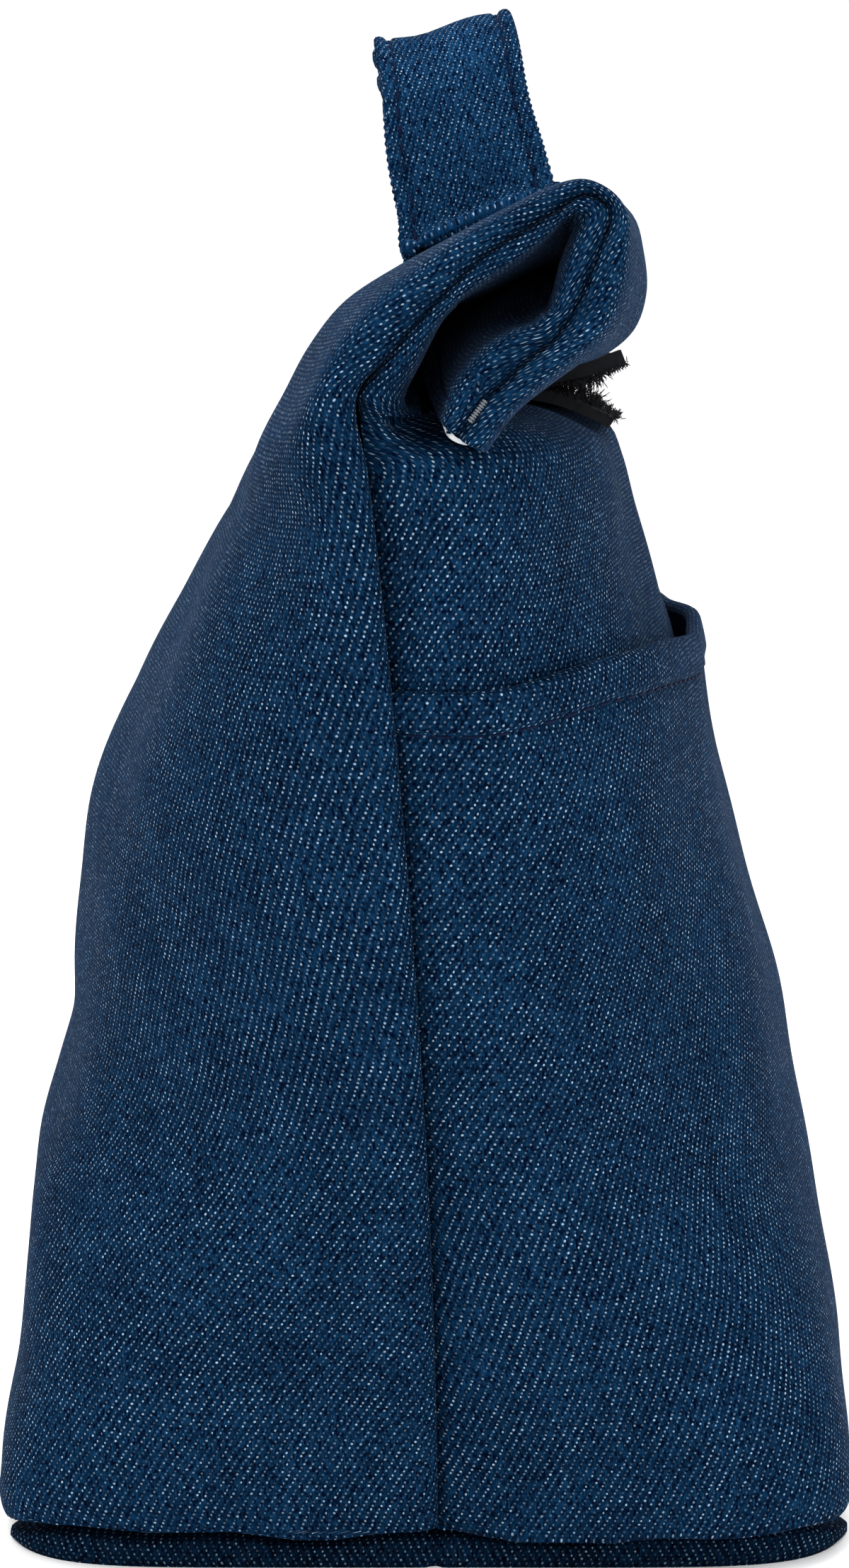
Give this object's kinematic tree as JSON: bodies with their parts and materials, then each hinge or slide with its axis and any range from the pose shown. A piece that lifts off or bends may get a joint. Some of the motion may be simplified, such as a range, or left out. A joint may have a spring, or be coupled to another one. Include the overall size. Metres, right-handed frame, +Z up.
{
  "type": "rolltop cooler bag",
  "caption": "Boxed denim lunch cooler bag with insulated lining, front patch pocket, fold-over hook-and-loop top and a strap handle.",
  "frame": {"origin": "centre of the base on the floor it stands on", "axes": "+X along the roll and the mouth, +Y from the front pocket to the back, +Z up"},
  "size_m": [0.3326, 0.1405, 0.2554],
  "materials": {
    "denim": "dark indigo twill, matt, with pale weft showing",
    "strap_denim": "dark indigo twill, folded and edge stitched",
    "foam": "closed-cell insulation foam",
    "lining": "smooth coated white cloth",
    "tape": "black hook-and-loop tape",
    "thread": "grey sewing thread"
  },
  "bodies": {
    "bag": {"back_panel": "denim", "back_insulation": "foam", "back_lining": "lining", "front_panel": "denim", "front_insulation": "foam", "front_lining": "lining", "pocket_panel": "denim", "hook_strip": "tape"},
    "pocket_front": {"pocket_lip": "denim", "pocket_hem": "denim"},
    "neck": {"neck_back": "denim", "neck_back_lining": "lining", "neck_front": "denim", "neck_front_lining": "lining", "handle_end_left": "strap_denim", "handle_end_right": "strap_denim"},
    "flap": {"flap_back": "denim", "flap_back_lining": "lining", "mouth_hem_back": "denim", "flap_front": "denim", "flap_front_lining": "lining", "mouth_hem_front": "denim", "loop_strip": "tape", "mouth_bar_tack_left": "thread", "mouth_bar_tack_right": "thread"},
    "strap_left": {"handle_leg_left": "strap_denim"},
    "strap_grip": {"handle_grip": "strap_denim"},
    "strap_right": {"handle_leg_right": "strap_denim"}
  },
  "joints": [
    {"name": "neck_fold", "type": "hinge", "parent": "bag", "child": "neck", "pos_m": [0, 0.0187, 0.19234], "axis": [-1, 0, 0], "range_deg": [0, 50]},
    {"name": "flap_fold", "type": "hinge", "parent": "neck", "child": "flap", "pos_m": [0, -0.02978, 0.21691], "axis": [-1, 0, 0], "range_deg": [0, 150]},
    {"name": "pocket_open", "type": "hinge", "parent": "bag", "child": "pocket_front", "pos_m": [0, -0.06556, 0.07224], "axis": [1, 0, 0], "range_deg": [0, 14]},
    {"name": "handle_sway", "type": "hinge", "parent": "neck", "child": "strap_left", "pos_m": [-0.065, -0.00737, 0.22126], "axis": [0, -0.9397, 0.342], "range_deg": [-50, 50]},
    {"name": "handle_level", "type": "hinge", "parent": "strap_left", "child": "strap_grip", "pos_m": [-0.065, -0.00514, 0.23711], "axis": [0, -0.9397, 0.342], "range_deg": [-50, 50]},
    {"name": "handle_follow", "type": "hinge", "parent": "neck", "child": "strap_right", "pos_m": [0.065, -0.00737, 0.22126], "axis": [0, -0.9397, 0.342], "range_deg": [-50, 50]}
  ],
  "couplings": [
    {"joint": "flap_fold", "follows": "neck_fold", "ratio": 3},
    {"joint": "handle_level", "follows": "handle_sway", "ratio": -1},
    {"joint": "handle_follow", "follows": "handle_sway", "ratio": 1}
  ]
}
